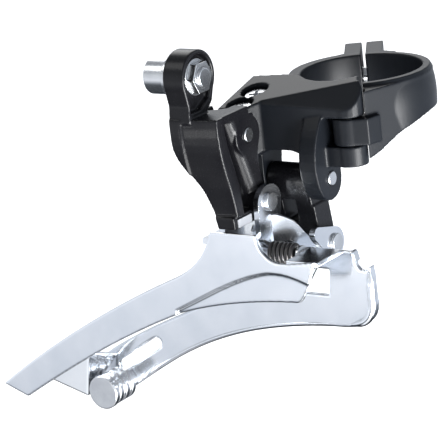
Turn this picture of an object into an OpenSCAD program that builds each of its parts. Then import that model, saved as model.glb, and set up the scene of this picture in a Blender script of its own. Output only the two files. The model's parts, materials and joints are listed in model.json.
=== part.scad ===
// Front derailleur for a road bicycle, band-on clamp, with a parallelogram linkage and a two-plate cage.
// Millimetres. +Z is up along the seat tube, +X is forward, -Y is outboard (drive side).
// The origin is the centre of the clamp bore. The cage is drawn at its innermost (small ring) position.

/* [Clamp] */
// Radius of the clamp bore, for the seat tube
clamp_r = 15.9; // [14.3:0.05:17.5]
// Wall of the clamp ring
clamp_wall = 3.2; // [2:0.1:5]
// Half height of the clamp ring at the bolt side
ring_half_h = 8; // [6:0.5:10]
// Direction of the split beside the hinge, degrees from +X
split_deg = 300; // [280:1:320]
// Gap between the two halves of the clamp
split_gap = 1.2; // [0.4:0.1:3]
// Radius of the clamp hinge pin
hinge_pin_r = 1.6; // [1:0.1:2.5]

/* [Linkage] */
// Outer upper pivot, Y
a_y = -36; // [-42:0.5:-30]
// Outer upper pivot, Z
a_z = -1; // [-6:0.5:4]
// Inner upper pivot, Y
b_y = -23; // [-28:0.5:-21]
// Inner upper pivot, Z
b_z = -15.2; // [-20:0.5:-12]
// Link vector, Y part at rest
link_dy = 3; // [-4:0.5:6]
// Link vector, Z part at rest
link_dz = -18.2; // [-24:0.1:-12]
// Radius of every pivot pin
pin_r = 1.9; // [1.2:0.1:2.5]
// Radial running clearance on the pins
run = 0.06; // [0.02:0.01:0.1]

/* [Cage] */
// Y of the outer plate's outer face
outer_y = -45.6; // [-50:0.1:-42]
// Y of the inner plate's outer face
inner_y = -32.6; // [-36:0.1:-30]
// Thickness of the plates
plate_t = 1.2; // [0.8:0.1:2]
// Depth of the pressed step in the outer plate
step_in = 0.9; // [0:0.1:1.2]

/* [Output] */
// Which sub-part to draw

/* [Hidden] */
$fn = 64;
big = 200;
black = [0.07, 0.07, 0.08];
satin = [0.22, 0.23, 0.25];
silver = [0.78, 0.80, 0.83];
steel = [0.6, 0.61, 0.63];
clamp_or = clamp_r + clamp_wall;
c_y = a_y + link_dy;
c_z = a_z + link_dz;
d_y = b_y + link_dy;
d_z = b_z + link_dz;
// Clamp hinge: distance from the tube axis, and how far behind the split it lies
hinge_d = 21.3;
hinge_back = 3.5;
hinge_x = hinge_d * cos(split_deg) + hinge_back * sin(split_deg);
hinge_y = hinge_d * sin(split_deg) - hinge_back * cos(split_deg);
knuckle_r = 4.2;
ear_bottom = -11.8;
ear_low_top = -6.6;
knuckle_bottom = -6.3;
knuckle_top = 0.6;
ear_high_bottom = 0.9;
pin_top = 5.2;
// Clamp bolt: distance of its axis from the tube axis, on the far side of the split
bolt_d = 25.8;
bolt_r = 2.5;
lug_half_h = ring_half_h - 0.4;
lug_t = 5.2;
washer_t = 1;
// Limit screws
screw_x = -20.4;
screw_in_y = -18.4;
screw_out_y = -26.2;
screw_r = 2.1;
screw_head_r = 2.9;
counterbore_r = 3.7;
head_sink = 2.9;
top_slope = 14;
top_rise = 4.5;
top_z_in = 7.4;
top_y_in = -16;
// Cable anchor
eye_y = -45;
eye_z = 16;
eye_r = 7;
eye_rim = 1.2;
anchor_r = 2.6;
// X ranges of the bracket's arm and of the outer link round it
lug_a_front = -17.2;
lug_a_rear = -22;
link_front = -12.7;
link_rear = -25.6;
a_front = -12.3;
eye_front = -19.3;
dish_floor = -21;
// Outer link: turn of its outboard wall in plan, its thickness and its lid
wall_turn = 8;
wall_front = -12.2;
boss_floor = -16.2;
boss_edge_y = -44.4;
boss_lean = 20.4;
boss_round = 3;
lid_bottom = 4.3;
lid_top = 6.3;
barrel_r = 4.1;
link_r = 3.6;
// X ranges of the inner pivot's lugs and of the lower pivots
b_front = 2.6;
b_lug_rear = -2.4;
inner_link_front = -2.7;
inner_link_rear = -15;
tongue_front = -10.4;
tongue_rear = -11.9;
d_cheek_front = -0.2;
d_cheek_rear = -1.8;
arch_turn = 41;
post_r = 1.3;
spring_y = -35.8;
spring_z = -32;
// Bolt and spacer at the tail
tail_x = -65.2;
tail_z = -74.2;
tail_bolt_r = 2;
spacer_y = -40.6;

// Cubic Bezier from p to s with handles q and r, as n points that leave out the first
function bez(p, q, r, s, n) = [for (i = [1:n]) let (t = i / n, u = 1 - t)
    u * u * u * p + 3 * u * u * t * q + 3 * u * t * t * r + t * t * t * s];

// Round bar along X between two x values, centred on y and z
module bar_x(x0, x1, y, z, r) {
    translate([x0, y, z]) rotate([0, 90, 0]) cylinder(h = x1 - x0, r = r);
}

// A flat outline drawn in (y, z), given a thickness along X from x0 to x1
module slab_x(x0, x1) {
    translate([x0, 0, 0]) rotate([90, 0, 90]) linear_extrude(x1 - x0) children();
}

// A flat outline drawn in (x, z), given a thickness along Y from y0 to y1
module slab_y(y0, y1) {
    translate([0, y1, 0]) rotate([90, 0, 0]) linear_extrude(y1 - y0) children();
}

// A strap with round ends, flat, from p to q
module strap(p, q, rp, rq) {
    d = q - p;
    l = norm(d);
    a = atan2(d[1], d[0]);
    k = asin((rp - rq) / l);
    translate(p) rotate(a) {
        circle(r = rp);
        translate([l, 0]) circle(r = rq);
        polygon([[rp * sin(k), rp * cos(k)], [l + rq * sin(k), rq * cos(k)],
            [l + rq * sin(k), -rq * cos(k)], [rp * sin(k), -rp * cos(k)]]);
    }
}

// The half plane that holds the front half of the clamp
module front_side(gap) {
    rotate([0, 0, split_deg]) translate([-big / 2, gap / 2, -big / 2]) cube([big, big, big]);
}

// The half plane that holds the bracket half of the clamp
module bracket_side(gap) {
    rotate([0, 0, split_deg]) translate([-big / 2, -big - gap / 2, -big / 2]) cube([big, big, big]);
}

// Space kept round the clamp hinge
module hinge_bore(extra) {
    translate([hinge_x, hinge_y, pin_top - big]) cylinder(h = big, r = hinge_pin_r + extra);
}

// Lug for the clamp bolt, both halves, before the split is cut
module bolt_lug() {
    rotate([0, 0, split_deg + 180]) translate([0, 0, -lug_half_h]) linear_extrude(2 * lug_half_h)
        polygon([[14, -10.5], [18.4, -8.6], [20.8, -lug_t], [33, -lug_t],
            [33, lug_t], [20.8, lug_t], [18.4, 8.6], [14, 10.5]]);
}

// Round bar on the clamp bolt's axis, from x0 to x1 measured forward from the split
module bolt_line(x0, x1, r) {
    rotate([0, 0, split_deg + 180]) translate([bolt_d, -x0, 0]) rotate([90, 0, 0])
        cylinder(h = x1 - x0, r = r);
}

// Everything under the sloping top face
module under_top() {
    translate([screw_x, top_y_in, top_z_in]) rotate([top_slope, -top_rise, 0])
        translate([-big / 2, -big / 2, -big]) cube([big, big, big]);
}

// Plan of the bracket's body
module body_plan() {
    polygon(concat([[-26, -12], [-26, -29.6], [-17, -29.6], [-14.4, -26.9], [2.6, -24.8]],
        [for (a = [-100:20:20]) [hinge_x + knuckle_r * cos(a), hinge_y + knuckle_r * sin(a)]],
        [[9, -16.6], [7, -12]]));
}

// Front outline of the bracket body, in (x, z)
module body_side() {
    polygon(concat([[-27, 14], [-27, -5]], bez([-27, -5], [-24, -9.5], [-20, -10], [-17, -10], 8),
        bez([-17, -10], [-15.5, -7.4], [-13, -7.6], [-10, -7.6], 6),
        bez([-10, -7.6], [-5, -7.4], [b_lug_rear - 0.6, -9], [b_lug_rear, -13], 8),
        [[b_lug_rear, -14], [b_front - 0.4, -14], [b_front - 0.4, ear_high_bottom],
            [14, ear_high_bottom], [14, 14]]));
}

// Outline of the leaf-shaped lug, in (y, z)
module leaf() {
    polygon(concat([[-23, 3.4]], bez([-23, 3.4], [-20.5, -4], [-19, -9], [-18.2, -14], 8),
        bez([-18.2, -14], [-17.6, -18.6], [-20.6, -20.8], [-23.6, -20.8], 8),
        bez([-23.6, -20.8], [-28, -20.6], [-29.4, -16], [-30, -11.6], 8),
        bez([-30, -11.6], [-30.4, -5.4], [-27.4, -0.6], [-23.4, 3.3], 8)));
}

// Height of a limit screw's seat on its own axis
function screw_seat(y) = cos(top_slope) * (top_z_in + (y - top_y_in) * tan(top_slope)) - head_sink;

module limit_hole(y) {
    translate([screw_x, y, 0]) rotate([top_slope, 0, 0]) {
        translate([0, 0, -big / 2]) cylinder(h = big, r = screw_r + run);
        translate([0, 0, screw_seat(y)]) cylinder(h = big, r = counterbore_r);
    }
}

module bracket() {
    color(satin) difference() {
        union() {
            intersection() {
                union() {
                    translate([0, 0, -ring_half_h]) cylinder(h = 2 * ring_half_h, r = clamp_or);
                    bolt_lug();
                }
                bracket_side(split_gap);
            }
            intersection() {
                translate([0, 0, -15]) linear_extrude(30) body_plan();
                slab_y(-60, 0) body_side();
                under_top();
            }
            // Arm that reaches the outer pivot
            slab_x(lug_a_rear, lug_a_front) strap([a_y, a_z], [-27, a_z - 1], 4.4, 4.4);
            // Lower ear of the clamp hinge, on a web
            translate([hinge_x, hinge_y, ear_bottom]) cylinder(h = ear_low_top - ear_bottom, r = knuckle_r);
            translate([0, 0, ear_bottom]) linear_extrude(ear_low_top - ear_bottom)
                polygon([[0, -24.6], [hinge_x - 0.6, hinge_y - knuckle_r + 0.1],
                    [hinge_x, hinge_y + 3.6], [0, -16.4]]);
            slab_x(b_lug_rear, b_front) leaf();
            // Rear lug of the inner pivot
            slab_x(-19.4, -15.3) difference() {
                strap([b_y, b_z], [-22, -6], 4.4, 5);
                translate([-clamp_r - 0.6, -30]) square([20, 40]);
            }
        }
        // The bore, relieved above and below the ring
        translate([0, 0, -big / 2]) cylinder(h = big, r = clamp_r);
        translate([0, 0, -big - ring_half_h]) cylinder(h = big, r = clamp_r + 0.8);
        translate([0, 0, ring_half_h]) cylinder(h = big, r = clamp_r + 0.8);
        // The front face leans back under the top face
        intersection() {
            translate([-14, -26.9, 4.4]) rotate([46, 0, 10]) translate([-big / 2, -big / 2, 0])
                cube([big, big, big]);
            translate([-14.6, -big / 2, -big / 2]) cube([big, big, big]);
        }
        // Room for the middle knuckle of the clamp hinge
        translate([hinge_x, hinge_y, ear_low_top])
            cylinder(h = ear_high_bottom - ear_low_top, r = knuckle_r + 0.5);
        hinge_bore(0);
        limit_hole(screw_in_y);
        limit_hole(screw_out_y);
        bar_x(-40, a_front, a_y, a_z, pin_r);
        bar_x(-40, b_front + 5, b_y, b_z, pin_r);
        // Room for the inner link between the lugs
        bar_x(inner_link_rear - 0.3, b_lug_rear, b_y, b_z, 4.3);
        bolt_line(-20, 0, 4);
    }
}

// Everything under the band's lower edge, which is deepest beside the hinge
module skirt_cut() {
    rotate([0, 0, split_deg]) slab_y(-big, big) polygon(concat([[big, -10.4], [22.6, -10.4]],
        bez([22.6, -10.4], [18.6, -9.2], [16, -3], [6, -2.9], 14),
        bez([6, -2.9], [-2, -2.9], [-11, -4], [-17, -lug_half_h], 8),
        [[-big, -lug_half_h], [-big, -big], [big, -big]]));
}

// Half section of the band, in (radius, z)
module band_section() {
    polygon(concat([[clamp_r, -14], [clamp_r, ring_half_h], [clamp_r + 2, ring_half_h]],
        bez([clamp_r + 2, ring_half_h], [clamp_r + 2.8, ring_half_h - 2], [clamp_r + 3.4, 2],
            [clamp_r + 3, -2.3], 10),
        bez([clamp_r + 3, -2.3], [clamp_r + 2.8, -6], [clamp_r + 2.5, -10], [clamp_r + 2.2, -14], 4)));
}

// The band and its cheek, cut off at the lower edge
module band_body() {
    difference() {
        union() {
            rotate_extrude() band_section();
            // Cheek that sweeps round to the hinge
            translate([0, 0, -14]) linear_extrude(14 + ring_half_h - 1)
                strap([0, 0], [hinge_x, hinge_y], clamp_r + 2.6, knuckle_r);
        }
        skirt_cut();
    }
}

// The front half of the clamp, with its deep skirt
module front_band() {
    color(satin) difference() {
        union() {
            intersection() {
                union() {
                    band_body();
                    bolt_lug();
                }
                front_side(split_gap);
            }
            // Middle knuckle of the hinge and its tongue
            translate([hinge_x, hinge_y, knuckle_bottom])
                cylinder(h = knuckle_top - knuckle_bottom, r = knuckle_r);
            translate([0, 0, knuckle_bottom]) linear_extrude(knuckle_top - knuckle_bottom)
                polygon([[hinge_x + 0.4, hinge_y - knuckle_r], [hinge_x + 6.4, hinge_y - 1.4],
                    [hinge_x + 7.4, hinge_y + 3.6], [hinge_x + 3, hinge_y + 4.6]]);
        }
        translate([0, 0, -big / 2]) cylinder(h = big, r = clamp_r);
        translate([0, 0, -big - ring_half_h]) cylinder(h = big, r = clamp_r + 0.8);
        hinge_bore(run);
        // Room for the ears of the bracket
        translate([hinge_x, hinge_y, knuckle_top]) cylinder(h = big, r = knuckle_r + 0.5);
        translate([hinge_x, hinge_y, -big]) cylinder(h = big + knuckle_bottom, r = knuckle_r + 0.5);
        bolt_line(0, 20, bolt_r);
    }
}

module hinge_pin() {
    color(steel) translate([hinge_x, hinge_y, ear_bottom])
        cylinder(h = pin_top - ear_bottom, r = hinge_pin_r);
}

module clamp_bolt() {
    color(steel) difference() {
        union() {
            bolt_line(-lug_t - 0.6, lug_t + washer_t, bolt_r - run);
            bolt_line(lug_t + washer_t, lug_t + washer_t + 4.6, 4.2);
        }
        rotate([0, 0, split_deg + 180]) translate([bolt_d, -lug_t - 3.2, 0]) rotate([90, 0, 0])
            cylinder(h = 10, r = 2.3, $fn = 6);
    }
}

module clamp_washer() {
    color(steel) difference() {
        bolt_line(lug_t, lug_t + washer_t, 4.6);
        bolt_line(0, 20, bolt_r);
    }
}

// Limit screw with a cross recess in its head
module limit_screw(y) {
    seat = screw_seat(y);
    color(steel) translate([screw_x, y, 0]) rotate([top_slope, 0, 0]) difference() {
        union() {
            translate([0, 0, -13]) cylinder(h = 13 + seat, r = screw_r);
            translate([0, 0, seat + 0.1]) cylinder(h = 1.5, r = screw_head_r);
            translate([0, 0, seat - 0.2]) cylinder(h = 0.4, r = screw_r);
        }
        for (a = [20, 110]) rotate([0, 0, a]) translate([-1.9, -0.4, seat + 0.7]) cube([3.8, 0.8, 3]);
    }
}

module low_screw() {
    limit_screw(screw_in_y);
}

module high_screw() {
    limit_screw(screw_out_y);
}

// Outboard profile of the outer link, in (y, z), from the eye down to the lower pivot
function link_edge() = concat([[-51.9, 15]],
    bez([-51.9, 15], [-50.6, 10], [-51.6, 7], [-51.6, 4], 6),
    bez([-51.6, 4], [-51.6, -2], [-50.2, -7], [-48.6, -12], 8),
    bez([-48.6, -12], [-47.8, -15], [-47.2, -18], [-47, -20.4], 6));

// Outline of the link from the outboard side, in (x, z)
module link_side() {
    polygon(concat([[link_front + 1, lid_top], [link_rear, lid_top], [link_rear, 0]],
        bez([link_rear, 0], [link_rear, -5], [-22, -7.6], [-20, -13.6], 10),
        [[-18.6, -19], [-17.8, -25], [link_front + 1, -25]]));
}

// Outline of the boss at the front of the link, in (y, z)
module boss_face() {
    polygon(concat([[-33, lid_bottom], [-48, lid_bottom], [-48, -20.4], [-36, -20.4], [-33, c_z - barrel_r]],
        [[c_y + barrel_r, c_z]],
        bez([c_y + barrel_r, c_z], [-32, -14.4], [-34, -9], [-31, -2.6], 8)));
}

// Room for the boss, bounded by a leaning outboard side with a large round to its front
module boss_room() {
    translate([link_front, boss_edge_y, lid_bottom]) rotate([boss_lean, 0, 0])
        linear_extrude(80, center = true) {
            translate([-boss_round, boss_round]) circle(r = boss_round);
            translate([-30, boss_round]) square([30, 40]);
            translate([-30, 0]) square([30 - boss_round, 40]);
        }
}

// Outline of the eye and its stem above the lid, in (y, z), set in by a margin
module eye_face(in) {
    circle_at(eye_y, eye_z, eye_r - in);
    foot = lid_top - 1 + 2 * in;
    polygon([[-51.9 + in, 15], [-50.7 + in, 9.6], [-51.3 + in, foot], [-44.6 - in, foot],
        [-40.4 - in, 8.8 + in], [-38.1 - in, 15]]);
}

// Outboard wall of the outer link, turned a little in plan
module link_wall() {
    intersection() {
        translate([link_rear, -51.6, 0]) rotate([0, 0, wall_turn]) translate([0, 51.6, 0]) slab_x(-8, 30)
            polygon(concat(link_edge(), [[-43.8, -20.4], [-44.6, -12], [-47, -4], [-48.4, 2]],
                [[-48.4, lid_top], [-48.8, 12]]));
        translate([link_rear, -60, -30]) cube([wall_front - link_rear, 40, 40]);
    }
}

// Body of the outer link under the eye, before its side outline is cut
module link_body() {
    // Rear plate
    slab_x(link_rear, lug_a_rear - 0.2) union() {
        circle_at(a_y, a_z, 5.4);
        polygon(concat(link_edge(), [[-38, -20.4], [-32.4, -4], [-36.4, lid_top], [-42, lid_top + 2]]));
    }
    link_wall();
    // Floor between the wall and the boss
    slab_x(-20, boss_floor) polygon([[-49, lid_bottom], [-49, -2], [-46.6, -12], [-45, -20.4],
        [-40, -20.4], [-40, lid_bottom]]);
    intersection() {
        slab_x(lug_a_front + 0.2, link_front) boss_face();
        boss_room();
    }
    slab_x(lug_a_front + 0.2, link_front) circle_at(a_y, a_z, 5.4);
    // Lip under the boss
    slab_x(-19.4, link_front) polygon([[-46.4, -20], [-46, -23.4], [c_y, c_z - barrel_r], [c_y, -20]]);
    // Lid
    translate([0, 0, lid_bottom]) linear_extrude(lid_top - lid_bottom)
        polygon([[link_rear, -51.4], [link_front, -49.4], [link_front, -34.6], [lug_a_front + 0.2, -34.6],
            [lug_a_front + 0.2, -38], [link_rear, -44]]);
}

module outer_link() {
    color(black) difference() {
        union() {
            slab_x(link_rear, eye_front) eye_face(0);
            intersection() {
                slab_y(-60, -28) link_side();
                link_body();
            }
            bar_x(-22.6, tongue_rear - 0.2, c_y, c_z, barrel_r);
        }
        // Dish round the anchor
        slab_x(dish_floor, 0) eye_face(eye_rim);
        // Room for the bracket's arm
        bar_x(lug_a_rear - 0.2, lug_a_front + 0.2, a_y, a_z, 5.2);
        bar_x(-40, 10, a_y, a_z, pin_r + run);
        bar_x(-40, 10, c_y, c_z, pin_r + run);
        bar_x(-40, -10, eye_y, eye_z, anchor_r);
    }
}

module circle_at(y, z, r) {
    translate([y, z]) circle(r = r);
}

module inner_link() {
    t = atan2(link_dz, link_dy);
    color(black) difference() {
        slab_x(inner_link_rear, d_cheek_rear - 0.3) polygon(concat(
            [for (a = [90:7.5:270]) [b_y + link_r * cos(t + a), b_z + link_r * sin(t + a)]],
            [for (a = [-90:7.5:90]) [d_y + link_r * cos(t + a), d_z + link_r * sin(t + a)]]));
        // The front steps back at the top, behind the bracket's lug
        translate([inner_link_front, -40, b_z - 7]) cube([10, 40, 20]);
        bar_x(-40, 10, b_y, b_z, pin_r + run);
        bar_x(-40, 10, d_y, d_z, pin_r + run);
        // Window between the two arms of the link
        slab_x(-11.6, -7.6) translate([-40, b_z - 11.6]) square([40, 6]);
    }
}

module pin_a() {
    color(steel) bar_x(link_rear - 0.5, a_front, a_y, a_z, pin_r);
}

module pin_b() {
    color(steel) bar_x(-19.8, b_front + 0.4, b_y, b_z, pin_r);
}

module pin_c() {
    color(steel) {
        bar_x(-25, tongue_front + 0.9, c_y, c_z, pin_r);
        bar_x(tongue_front, tongue_front + 0.9, c_y, c_z, 2.5);
    }
}

module pin_d() {
    color(steel) {
        bar_x(-17, d_cheek_front + 0.9, d_y, d_z, pin_r);
        bar_x(d_cheek_front, d_cheek_front + 0.9, d_y, d_z, 2.5);
    }
}

module cable_bolt() {
    color(silver) {
        bar_x(link_rear - 1.8, -17.4, eye_y, eye_z, anchor_r - run);
        bar_x(-33.4, link_rear - 1.8, eye_y, eye_z, 4.7);
    }
}

module cable_washer() {
    color(silver) difference() {
        bar_x(link_rear - 1.8, link_rear, eye_y, eye_z, 5.4);
        bar_x(-40, -10, eye_y, eye_z, anchor_r);
    }
}

module cable_nut() {
    color(silver) difference() {
        union() {
            translate([dish_floor, eye_y, eye_z]) rotate([0, 90, 0]) cylinder(h = 0.9, r = 4.7);
            translate([dish_floor + 0.9, eye_y, eye_z]) rotate([0, 90, 0]) rotate([0, 0, 30])
                cylinder(h = 2, r = 4.3, $fn = 6);
        }
        bar_x(-40, -10, eye_y, eye_z, anchor_r);
    }
}

// Pad on the front of the lip
module link_pad() {
    color([0.35, 0.36, 0.38]) translate([link_front + 0.02, -44.8, -23]) cube([0.4, 6, 2.2]);
}

// Outline of the saddle's arch in its own upright plane: distance along it, and z
module arch_face() {
    polygon(concat([[-4.6, -25]], bez([-4.6, -25], [-5.8, -27], [-8.6, -33.4], [-3, -35], 8),
        [[-0.8, -35.4], [0, -34.2]], bez([0, -34.2], [1, -32.4], [2, -30.1], [3.6, -30.1], 6),
        bez([3.6, -30.1], [5.6, -30.2], [6.4, -33.6], [10, -35.4], 8), [[13.4, -35.2], [13.4, -31.5]],
        bez([13.4, -31.5], [8, -31], [8.4, -27.4], [5, -25], 10),
        bez([5, -25], [3.6, -24], [2, -23.2], [0.6, -22.9], 5)));
}

module saddle() {
    color(silver) difference() {
        union() {
            // Tongue on the outer lower pivot
            slab_x(tongue_rear, tongue_front) strap([c_y, c_z], [c_y - 0.6, c_z - 7], 4.4, 4.6);
            // Arch that runs forward from the tongue to the inner lower pivot
            translate([tongue_front, -33, 0]) rotate([0, 0, arch_turn]) slab_y(0, 1.5) arch_face();
            // Cheeks on the inner lower pivot
            for (x = [d_cheek_rear, -16.7]) slab_x(x, x + 1.6) strap([d_y, d_z], [-27.6, -29], 4.2, 1.8);
            // Rear plate of the outer lower pivot
            slab_x(-24.5, -22.9) strap([c_y, c_z], [c_y + 1, c_z - 7.6], 4.2, 4.2);
            // Floor that joins the plates to the cage
            translate([-24.5, outer_y + plate_t, -28.2]) cube([12.9, 18.8, 1.6]);
        }
        bar_x(-40, 10, c_y, c_z, pin_r);
        bar_x(-40, 10, d_y, d_z, pin_r);
        bar_x(-40, 10, spring_y, spring_z, post_r);
    }
}

// Peg that carries the spring, with its collar
module spring_post() {
    color(silver) {
        bar_x(-16.5, -0.6, spring_y, spring_z, post_r);
        bar_x(-0.9, 0, spring_y, spring_z, 2.6);
    }
}

module return_spring() {
    color([0.16, 0.15, 0.15]) for (i = [0:5])
        translate([-9.1 + i * 1.42, spring_y, spring_z]) rotate([0, 90, 0])
            rotate_extrude() translate([2.45, 0]) circle(r = 0.62, $fn = 14);
}

// Upper edge and outline of the outer plate, in (x, z)
module outer_outline() {
    polygon(concat([[-97, -73.8]],
        bez([-97, -73.8], [-78, -60], [-55, -47], [-34, -37.8], 22),
        bez([-34, -37.8], [-26, -34.2], [-23.4, -30], [-21.2, -24.4], 10),
        [[-7.4, -24.4]],
        bez([-7.4, -24.4], [-6.6, -30], [-3, -31.6], [1, -31.4], 8),
        [[9.4, -30.2], [8.4, -33.5]],
        bez([8.4, -33.5], [7.2, -36.5], [5.6, -39.4], [4.4, -40.8], 5),
        bez([4.4, -40.8], [3.6, -41.7], [3, -41.8], [1.6, -41.7], 4),
        bez([1.6, -41.7], [-10, -42.3], [-22, -44], [-34, -47.8], 12),
        bez([-34, -47.8], [-52, -55], [-70, -65], [-89, -76.8], 16)));
}

// The pressed-in panel at the lower front of the outer plate
module pressed_panel() {
    polygon(concat([[-34.8, -46.8]],
        bez([-34.8, -46.8], [-25, -42.4], [-16, -36.4], [-5, -34.2], 12),
        bez([-5, -34.2], [-1, -33.8], [3, -34.6], [9, -37], 6),
        [[9, -60], [-34.8, -60]]));
}

module outer_plate() {
    color(silver) union() {
        difference() {
            slab_y(outer_y, outer_y + plate_t) outer_outline();
            slab_y(outer_y - 1, outer_y + step_in) pressed_panel();
        }
        slab_y(outer_y + step_in, outer_y + step_in + plate_t) intersection() {
            outer_outline();
            pressed_panel();
        }
        // Small stop on the upper edge near the tail
        translate([-84.6, outer_y, -66.4]) rotate([0, 33, 0]) cube([3, plate_t, 2.6]);
    }
}

// Outline of the inner plate, in (x, z)
module inner_outline() {
    polygon(concat([[-72.5, -69.6]],
        bez([-72.5, -69.6], [-70.6, -66.4], [-69, -65.8], [-66, -64], 4),
        bez([-66, -64], [-56, -58.4], [-48, -55], [-38, -50.6], 10),
        bez([-38, -50.6], [-22, -44], [-10, -37], [-3, -31], 10),
        [[12.8, -31], [13.4, -33.4]],
        bez([13.4, -33.4], [14, -36.2], [16, -36.4], [17.4, -34.6], 5),
        bez([17.4, -34.6], [17.8, -39], [17.6, -42], [17.8, -45], 4),
        bez([17.8, -45], [17.4, -50], [13.6, -51.4], [8.5, -51.6], 8),
        bez([8.5, -51.6], [-14, -52.4], [-32, -57], [-50, -68], 20),
        bez([-50, -68], [-56, -71.6], [-61, -75], [-65.4, -77.6], 8),
        bez([-65.4, -77.6], [-69, -78.4], [-72, -75], [-72.5, -69.6], 6)));
}

module inner_plate() {
    color(silver) difference() {
        union() {
            slab_y(inner_y, inner_y + plate_t) inner_outline();
            // Rolled rim along the lower edge and the front lip
            slab_y(inner_y, inner_y + 2.6) difference() {
                inner_outline();
                translate([-1.6, 1.8]) inner_outline();
            }
        }
        // Slot that follows the tail
        slab_y(inner_y - 1, inner_y + 5) strap([-64.6, -69.4], [-52.4, -62], 1.5, 1.5);
        tail_bar(-60, -20, tail_bolt_r);
        // Window behind the front edge of the outer plate
        slab_y(inner_y - 1, inner_y + 5) polygon([[-3, -43.2], [4.5, -43.2], [5.3, -36.4], [1.4, -36.4]]);
    }
}

// Strip that joins the two plates over the front of the cage
module front_bridge() {
    color(silver) translate([0.4, outer_y + plate_t, -31.9]) cube([9.2, inner_y - outer_y - plate_t, 1.2]);
}

// Flange that runs in from the outer plate's lower edge, with a rolled lip
module tail_bridge() {
    y0 = outer_y + plate_t + 0.5;
    color(silver) {
        hull() {
            translate([-80.6, y0, -71]) sphere(r = 0.5, $fn = 16);
            translate([-67, y0, -62.4]) sphere(r = 0.5, $fn = 16);
            translate([-66.6, inner_y - 0.5, -66.4]) sphere(r = 0.5, $fn = 16);
            translate([-72.8, -39.4, -76.4]) sphere(r = 0.5, $fn = 16);
        }
    }
}

// Round bar along Y at the tail, from y0 to y1
module tail_bar(y0, y1, r) {
    translate([tail_x, y0, tail_z]) rotate([-90, 0, 0]) cylinder(h = y1 - y0, r = r);
}

module tail_spacer() {
    color(silver) difference() {
        union() {
            tail_bar(spacer_y, inner_y, 3.8);
            for (i = [0:2]) tail_bar(spacer_y + 0.4 + i * 2.7, spacer_y + 2 + i * 2.7, 4.5);
        }
        tail_bar(-60, -20, tail_bolt_r);
    }
}

module tail_bolt() {
    color(silver) {
        tail_bar(spacer_y - 1.9, spacer_y, 4.7);
        tail_bar(spacer_y, inner_y + plate_t, tail_bolt_r);
    }
}

bracket();
front_band();
hinge_pin();
clamp_bolt();
clamp_washer();
low_screw();
high_screw();
outer_link();
inner_link();
pin_a();
pin_b();
pin_c();
pin_d();
cable_bolt();
cable_washer();
cable_nut();
link_pad();
saddle();
spring_post();
return_spring();
outer_plate();
inner_plate();
front_bridge();
tail_bridge();
tail_spacer();
tail_bolt();
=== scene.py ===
"""Front derailleur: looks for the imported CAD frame. Metres, row frame: +X forward, -Y outboard, +Z up."""
import json
import math
import bpy
import bmesh
from mathutils import Matrix, Vector

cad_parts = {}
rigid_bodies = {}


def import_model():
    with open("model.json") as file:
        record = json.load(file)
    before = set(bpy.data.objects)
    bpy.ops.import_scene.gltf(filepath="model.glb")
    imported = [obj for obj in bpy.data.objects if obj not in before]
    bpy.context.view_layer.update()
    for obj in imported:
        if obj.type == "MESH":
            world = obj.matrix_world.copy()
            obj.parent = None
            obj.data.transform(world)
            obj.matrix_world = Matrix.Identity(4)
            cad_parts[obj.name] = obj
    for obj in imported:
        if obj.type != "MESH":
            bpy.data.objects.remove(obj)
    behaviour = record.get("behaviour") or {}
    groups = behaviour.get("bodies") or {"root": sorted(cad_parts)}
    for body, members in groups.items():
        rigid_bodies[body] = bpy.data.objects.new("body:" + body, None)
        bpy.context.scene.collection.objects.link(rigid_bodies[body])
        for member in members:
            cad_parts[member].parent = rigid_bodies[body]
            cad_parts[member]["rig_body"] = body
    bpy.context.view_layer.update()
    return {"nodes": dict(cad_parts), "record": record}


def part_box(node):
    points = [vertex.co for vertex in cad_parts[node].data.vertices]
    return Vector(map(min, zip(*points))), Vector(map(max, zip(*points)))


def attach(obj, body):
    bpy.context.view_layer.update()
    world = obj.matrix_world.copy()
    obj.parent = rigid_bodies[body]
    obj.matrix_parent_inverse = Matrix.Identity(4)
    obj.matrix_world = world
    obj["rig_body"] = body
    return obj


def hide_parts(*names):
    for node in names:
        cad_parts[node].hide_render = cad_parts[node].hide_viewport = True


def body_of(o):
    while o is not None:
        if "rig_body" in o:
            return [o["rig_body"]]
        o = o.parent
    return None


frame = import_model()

MM = 0.001
NODES = frame["nodes"]
SCENE = bpy.context.scene


# ---------------------------------------------------------------- camera

AZIMUTH, ELEVATION, ROLL = math.radians(36), math.radians(16), math.radians(6.5)
TARGET = Vector((-21.4, -38.6, -24.4)) * MM
DISTANCE = 650 * MM
LENS = 204
SENSOR = 36


def make_camera():
    level = math.cos(ELEVATION)
    back = Vector((math.sin(AZIMUTH) * level, -math.cos(AZIMUTH) * level, math.sin(ELEVATION)))
    right = Vector((math.cos(AZIMUTH), math.sin(AZIMUTH), 0))
    up = back.cross(right)
    rolled_right = right * math.cos(ROLL) - up * math.sin(ROLL)
    rolled_up = right * math.sin(ROLL) + up * math.cos(ROLL)
    turn = Matrix((rolled_right, rolled_up, back)).transposed().to_4x4()
    data = bpy.data.cameras.new("camera")
    data.lens = LENS
    data.sensor_width = SENSOR
    data.clip_start = 10 * MM
    cam = bpy.data.objects.new("camera", data)
    SCENE.collection.objects.link(cam)
    cam.matrix_world = Matrix.Translation(TARGET + back * DISTANCE) @ turn
    SCENE.camera = cam


make_camera()


# ---------------------------------------------------------------- materials

def new_material(name):
    m = bpy.data.materials.new(name)
    m.use_nodes = True
    nt = m.node_tree
    return m, nt, nt.nodes["Principled BSDF"]


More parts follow.
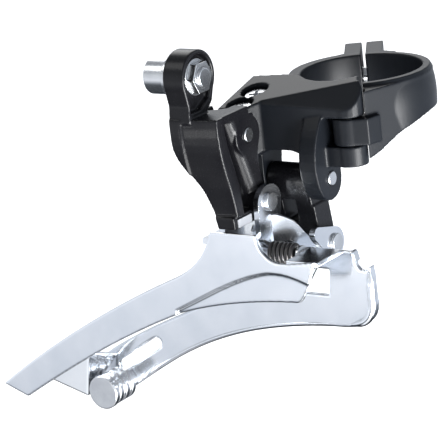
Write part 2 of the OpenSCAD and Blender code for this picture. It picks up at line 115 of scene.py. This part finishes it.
def noise(nt, scale, detail):
    """Noise in object space, in features per millimetre."""
    tc = nt.nodes.new("ShaderNodeTexCoord")
    mp = nt.nodes.new("ShaderNodeMapping")
    mp.inputs["Scale"].default_value = [1 / MM] * 3
    nt.links.new(tc.outputs["Object"], mp.inputs["Vector"])
    n = nt.nodes.new("ShaderNodeTexNoise")
    n.inputs["Scale"].default_value = scale
    n.inputs["Detail"].default_value = detail
    nt.links.new(mp.outputs["Vector"], n.inputs["Vector"])
    return n.outputs["Fac"]


def ramp(nt, fac, stops):
    r = nt.nodes.new("ShaderNodeValToRGB")
    while len(r.color_ramp.elements) < len(stops):
        r.color_ramp.elements.new(0.5)
    for e, (pos, col) in zip(r.color_ramp.elements, stops):
        e.position = pos
        e.color = (*col, 1)
    nt.links.new(fac, r.inputs["Fac"])
    return r.outputs["Color"]


def map_range(nt, fac, lo, hi):
    m = nt.nodes.new("ShaderNodeMapRange")
    m.inputs["To Min"].default_value = lo
    m.inputs["To Max"].default_value = hi
    nt.links.new(fac, m.inputs["Value"])
    return m.outputs["Result"]


def bump(nt, fac, strength, depth):
    b = nt.nodes.new("ShaderNodeBump")
    b.inputs["Strength"].default_value = strength
    b.inputs["Distance"].default_value = depth
    nt.links.new(fac, b.inputs["Height"])
    return b.outputs["Normal"]


METAL_GRAIN = 0.004 * MM


def metal(name, dark, light, rough, grain):
    """Bare or plated metal: slow colour drift, fine grain in the roughness and the bump."""
    m, nt, p = new_material(name)
    p.inputs["Metallic"].default_value = 1
    nt.links.new(ramp(nt, noise(nt, 0.12, 3), [(0.3, dark), (0.7, light)]), p.inputs["Base Color"])
    fine = noise(nt, grain, 5)
    nt.links.new(map_range(nt, fine, rough[0], rough[1]), p.inputs["Roughness"])
    nt.links.new(bump(nt, fine, 0.25, METAL_GRAIN), p.inputs["Normal"])
    return m


def coated(name, dark, light, rough, grain, bump_mm, spec=0.5, coat=0.0, coat_rough=0.1):
    """Anodised or painted aluminium: dielectric skin with a very fine blast texture."""
    m, nt, p = new_material(name)
    p.inputs["Metallic"].default_value = 0
    p.inputs["Specular IOR Level"].default_value = spec
    p.inputs["Coat Weight"].default_value = coat
    p.inputs["Coat Roughness"].default_value = coat_rough
    nt.links.new(ramp(nt, noise(nt, 0.1, 3), [(0.3, dark), (0.7, light)]), p.inputs["Base Color"])
    fine = noise(nt, grain, 3)
    nt.links.new(map_range(nt, fine, rough[0], rough[1]), p.inputs["Roughness"])
    nt.links.new(bump(nt, fine, 0.3, bump_mm * MM), p.inputs["Normal"])
    return m


MAT = {
    "black_anodised": coated("satin_black_alloy", (0.004, 0.005, 0.007), (0.006, 0.007, 0.009),
                             rough=(0.34, 0.42), grain=6, bump_mm=0.006, spec=0.19),
    "black_gloss": coated("gloss_black_alloy", (0.003, 0.003, 0.004), (0.006, 0.006, 0.007),
                          rough=(0.25, 0.31), grain=5, bump_mm=0.001, spec=0.20, coat=0.10, coat_rough=0.14),
    "grey_plastic": coated("grey_moulding", (0.20, 0.21, 0.23), (0.26, 0.27, 0.29),
                           rough=(0.4, 0.5), grain=5, bump_mm=0.01),
    "spring_steel": metal("dark_spring_steel", (0.09, 0.085, 0.08), (0.16, 0.15, 0.145),
                          rough=(0.3, 0.42), grain=3),
    "steel_bright": metal("turned_steel", (0.62, 0.63, 0.65), (0.78, 0.79, 0.80), rough=(0.2, 0.3), grain=4),
    "chromed_plate": metal("chromed_sheet", (0.80, 0.83, 0.87), (0.88, 0.90, 0.93),
                           rough=(0.14, 0.2), grain=2.5),
}
SLOT_OF = {s["node"]: s["material_slot"] for s in frame["record"]["subparts"]}


def paint(obj, slot_name):
    """Assigns the material on the object, so the mesh is left as it is."""
    if not obj.material_slots:
        obj.data.materials.append(None)
    for s in obj.material_slots:
        s.link = "OBJECT"
        s.material = MAT[slot_name]


# ---------------------------------------------------------------- mesh helpers

def link(obj):
    SCENE.collection.objects.link(obj)
    return obj


def baked(obj, name):
    """A new mesh: obj's shape with its modifiers applied."""
    deps = bpy.context.evaluated_depsgraph_get()
    mesh = bpy.data.meshes.new_from_object(obj.evaluated_get(deps))
    mesh.name = name
    mesh.materials.clear()
    return mesh


def stand_for(node, mesh, name):
    """Shows mesh in place of the CAD node, on the same body and in the same finish."""
    obj = link(bpy.data.objects.new(name, mesh))
    slot_name = SLOT_OF[node]
    paint(obj, slot_name)
    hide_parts(node)
    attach(obj, body_of(NODES[node])[0])
    return obj


def cast(node, voxel, rounds):
    """The node's own shape with every edge softened, as on a forged or pressed part."""
    work = link(bpy.data.objects.new(node + "_work", baked(NODES[node], node + "_work")))
    rm = work.modifiers.new("remesh", "REMESH")
    rm.mode = "VOXEL"
    rm.voxel_size = voxel * MM
    sm = work.modifiers.new("smooth", "SMOOTH")
    sm.factor = 0.5
    sm.iterations = rounds
    mesh = baked(work, node + "_cast")
    bpy.data.objects.remove(work)
    for f in mesh.polygons:
        f.use_smooth = True
    return stand_for(node, mesh, node + "_cast")


WELD = 0.002 * MM
FLAT_ANGLE = math.radians(0.5)
EDGE_ANGLE = math.radians(35)


def worked(node, width):
    """The node's own shape with a small round along each sharp edge, as on pressed and turned metal."""
    mesh = baked(NODES[node], node + "_bare")
    bm = bmesh.new()
    bm.from_mesh(mesh)
    bmesh.ops.remove_doubles(bm, verts=bm.verts, dist=WELD)
    bmesh.ops.dissolve_limit(bm, angle_limit=FLAT_ANGLE, verts=bm.verts, edges=bm.edges)
    for f in bm.faces:
        f.smooth = True
    bm.to_mesh(mesh)
    bm.free()
    if "custom_normal" in mesh.attributes:
        mesh.attributes.remove(mesh.attributes["custom_normal"])
    work = link(bpy.data.objects.new(node + "_work", mesh))
    bevel = work.modifiers.new("bevel", "BEVEL")
    bevel.width = width * MM
    bevel.segments = 2
    bevel.limit_method = "ANGLE"
    bevel.angle_limit = EDGE_ANGLE
    bevel.harden_normals = True
    made = baked(work, node + "_worked")
    bpy.data.objects.remove(work)
    return stand_for(node, made, node + "_worked")


def tube(path, radii, sides):
    """A round wire swept along a list of points, with one radius for each point."""
    bm = bmesh.new()
    rings = []
    up = Vector((0.05, 1, 0)).normalized()
    for i, p in enumerate(path):
        along = (path[min(i + 1, len(path) - 1)] - path[max(i - 1, 0)]).normalized()
        across = along.cross(up).normalized()
        lift = across.cross(along)
        rings.append([bm.verts.new(p + (across * math.cos(t) + lift * math.sin(t)) * radii[i])
                      for t in (2 * math.pi * k / sides for k in range(sides))])
    for r0, r1 in zip(rings, rings[1:]):
        for k in range(sides):
            bm.faces.new((r0[k], r0[(k + 1) % sides], r1[(k + 1) % sides], r1[k])).smooth = True
    bm.faces.new(rings[0][::-1])
    bm.faces.new(rings[-1])
    bmesh.ops.recalc_face_normals(bm, faces=bm.faces)
    mesh = bpy.data.meshes.new("wire")
    bm.to_mesh(mesh)
    bm.free()
    return mesh


def ease(piece, gap):
    """Running clearance: each point steps in along its normal, so a turning neighbour slides free."""
    for v in piece.data.vertices:
        v.co -= v.normal * gap


TONGUE_REACH = 5.5 * MM      # half width of the region that is widened
TONGUE_DROP = 8 * MM         # where the widening has faded out, below the pivot
TONGUE_FADE = 5 * MM
TONGUE_GAIN = 0.2


def widen_tongue(saddle):
    """The saddle's tongue ends in a wide round cheek behind the head of the lower pivot."""
    lo, hi = (Vector(v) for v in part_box("pin_c"))
    pivot = (lo + hi) / 2
    for v in saddle.data.vertices:
        over = v.co.z - pivot.z
        across = v.co.y - pivot.y
        if v.co.x < hi.x and abs(across) < TONGUE_REACH and over > -TONGUE_DROP:
            fade = min(1, max(0, (over + TONGUE_DROP) / TONGUE_FADE))
            v.co.y = pivot.y + across * (1 + TONGUE_GAIN * fade)


# ---------------------------------------------------------------- pieces

# Voxel in millimetres and rounds of smoothing
CAST = {"bracket": (0.28, 5), "front_band": (0.28, 6), "outer_link": (0.24, 9), "inner_link": (0.26, 4),
        "outer_plate": (0.24, 9), "inner_plate": (0.24, 5), "tail_bridge": (0.2, 14)}
# Width of the round along each edge, in millimetres
WORKED = {"saddle": 0.22, "front_bridge": 0.25, "tail_spacer": 0.25, "tail_bolt": 0.4, "cable_bolt": 0.4,
          "cable_washer": 0.25, "cable_nut": 0.25, "clamp_bolt": 0.4, "clamp_washer": 0.2,
          "low_screw": 0.12, "high_screw": 0.12, "pin_a": 0.35, "pin_b": 0.35, "pin_c": 0.3, "pin_d": 0.3,
          "spring_post": 0.25, "link_pad": 0.08}

for node in NODES:
    paint(NODES[node], SLOT_OF[node])
for node, (voxel, rounds) in CAST.items():
    cast(node, voxel, rounds)
made = {node: worked(node, width) for node, width in WORKED.items()}
widen_tongue(made["saddle"])
ease(made["cable_washer"], 0.03 * MM)


def bezier(p, q, r, s, n):
    """Points (x, z) of a cubic curve from p to s in the plane of the plates, in mm, without the last."""
    out = []
    for i in range(n):
        t = i / n
        u = 1 - t
        weights = (u ** 3, 3 * u * u * t, 3 * u * t * t, t ** 3)
        out.append([sum(w * v for w, v in zip(weights, values)) for values in zip(p, q, r, s)])
    return out


def bead(name, outline, y, radius, node):
    """A rolled edge: a round bead along part of a plate's outline, thinning out at both ends."""
    path = [Vector((x, y, z)) * MM for x, z in outline]
    last = len(path) - 1
    fades = [min(1, 6 * i / last, 6 * (last - i) / last) for i in range(last + 1)]
    radii = [radius * MM * (0.25 + 0.75 * fade) for fade in fades]
    obj = link(bpy.data.objects.new(name, tube(path, radii, 14)))
    paint(obj, SLOT_OF[node])
    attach(obj, body_of(NODES[node])[0])


def make_rolled_edges():
    """The inner plate's front lip and lower edge are rolled over."""
    plate = "inner_plate"
    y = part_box(plate)[0][1] / MM
    front = (bezier((17.0, -35.4), (17.2, -39), (17.0, -42), (17.0, -45), 14)
             + bezier((17.0, -45), (16.6, -49.2), (13.2, -50.6), (8.5, -50.8), 14))
    bead("front_lip_roll", front, y + 0.35, 1.15, plate)
    low = (bezier((12, -50.6), (-14, -51.6), (-32, -56.2), (-50, -67.2), 40)
           + bezier((-50, -67.2), (-56, -70.8), (-60, -73.6), (-63, -75.6), 10))
    bead("lower_edge_roll", low, y + 0.45, 0.7, plate)


make_rolled_edges()


def make_spring():
    """One wound wire, close to the six turns of the CAD node."""
    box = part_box("return_spring")
    lo, hi = Vector(box[0]), Vector(box[1])
    wire = 0.6 * MM
    mid = (lo + hi) / 2
    coil = (hi.z - lo.z) / 2 - wire
    start, run = lo.x + wire, (hi.x - lo.x) - 2 * wire
    turns, steps = 5.6, 220
    path = []
    for i in range(steps + 1):
        t = 2 * math.pi * turns * i / steps
        path.append(Vector((start + run * i / steps, mid.y + coil * math.cos(t), mid.z + coil * math.sin(t))))
    stand_for("return_spring", tube(path, [wire] * len(path), 16), "return_spring_coil")


make_spring()


# ---------------------------------------------------------------- stage and light

def area_light(name, place, aim, size, power):
    data = bpy.data.lights.new(name, "AREA")
    data.shape = "RECTANGLE"
    data.size, data.size_y = size
    data.energy = power
    obj = link(bpy.data.objects.new(name, data))
    obj.location = place
    obj.rotation_euler = (aim - place).to_track_quat("-Z", "Y").to_euler()


FLOOR_Z = -160 * MM
FLOOR_HALF = 6
# Name, direction from the object, distance, size and power
LIGHTS = [("key", (-0.46, -0.50, 0.72), 0.85, (0.45, 0.3), 1.0),
          ("sky", (-0.45, 0.65, 0.60), 0.80, (0.60, 0.4), 2.2),
          ("right", (0.93, -0.20, -0.30), 0.50, (0.30, 0.24), 7.0),
          ("table", (0.42, -0.58, -0.52), 0.50, (0.34, 0.22), 2.4),
          ("wall_glow", (-0.33, -0.90, -0.24), 0.50, (0.12, 0.04), 0.1)]


def toward(nt, coords, way, steps):
    """Colour by how closely a direction agrees with `way`."""
    dot = nt.nodes.new("ShaderNodeVectorMath")
    dot.operation = "DOT_PRODUCT"
    dot.inputs[1].default_value = Vector(way).normalized()
    nt.links.new(coords, dot.inputs[0])
    return ramp(nt, dot.outputs["Value"], steps)


def blend(nt, kind, first, second):
    mix = nt.nodes.new("ShaderNodeMix")
    mix.data_type = "RGBA"
    mix.blend_type = kind
    mix.inputs["Factor"].default_value = 1.0
    nt.links.new(first, mix.inputs["A"])
    nt.links.new(second, mix.inputs["B"])
    return mix.outputs["Result"]


def studio_world():
    """A pale room that darkens towards the ground, with a grey card on the forward side and two low glows."""
    world = bpy.data.worlds.new("studio")
    world.use_nodes = True
    nt = world.node_tree
    room = nt.nodes["Background"]
    room.inputs["Strength"].default_value = 1.22
    coords = nt.nodes.new("ShaderNodeTexCoord").outputs["Generated"]
    split = nt.nodes.new("ShaderNodeSeparateXYZ")
    nt.links.new(coords, split.inputs[0])
    height = nt.nodes.new("ShaderNodeMapRange")
    height.inputs["From Min"].default_value = -1
    nt.links.new(split.outputs["Z"], height.inputs["Value"])
    levels = [(0.0, (0.012, 0.015, 0.02)), (0.22, (0.03, 0.036, 0.045)), (0.31, (0.40, 0.43, 0.48)),
              (0.38, (0.86, 0.89, 0.95)), (0.50, (0.66, 0.69, 0.74)), (0.60, (0.66, 0.69, 0.73)),
              (0.72, (0.30, 0.32, 0.35)), (1.0, (0.25, 0.26, 0.28))]
    card = toward(nt, coords, (0.82, 0.57, -0.05), [(0.1, (1, 1, 1)), (0.55, (0.72, 0.75, 0.79))])
    front = toward(nt, coords, (0.02, -0.50, -0.86), [(0.88, (0, 0, 0)), (0.97, (0.9, 0.92, 0.96))])
    right = toward(nt, coords, (0.93, -0.10, -0.35), [(0.72, (0, 0, 0)), (0.97, (1.3, 1.4, 1.5))])
    tone = blend(nt, "MULTIPLY", ramp(nt, height.outputs["Result"], levels), card)
    tone = blend(nt, "ADD", blend(nt, "ADD", tone, front), right)
    nt.links.new(tone, room.inputs["Color"])
    return world


def make_stage():
    bm = bmesh.new()
    bmesh.ops.create_grid(bm, x_segments=1, y_segments=1, size=FLOOR_HALF)
    mesh = bpy.data.meshes.new("floor")
    bm.to_mesh(mesh)
    bm.free()
    floor = link(bpy.data.objects.new("floor", mesh))
    floor.location.z = FLOOR_Z
    m, nt, p = new_material("pale_floor")
    p.inputs["Base Color"].default_value = (0.9, 0.9, 0.9, 1)
    p.inputs["Roughness"].default_value = 1.0
    p.inputs["Specular IOR Level"].default_value = 0.0
    p.inputs["Emission Color"].default_value = (1, 1, 1, 1)
    p.inputs["Emission Strength"].default_value = 0.85
    mesh.materials.append(m)
    floor.visible_glossy = False
    floor.visible_shadow = False
    SCENE.world = studio_world()
    for name, way, far, size, power in LIGHTS:
        area_light(name, TARGET + Vector(way).normalized() * far, TARGET, size, power)


make_stage()
SCENE.view_settings.view_transform = "Standard"
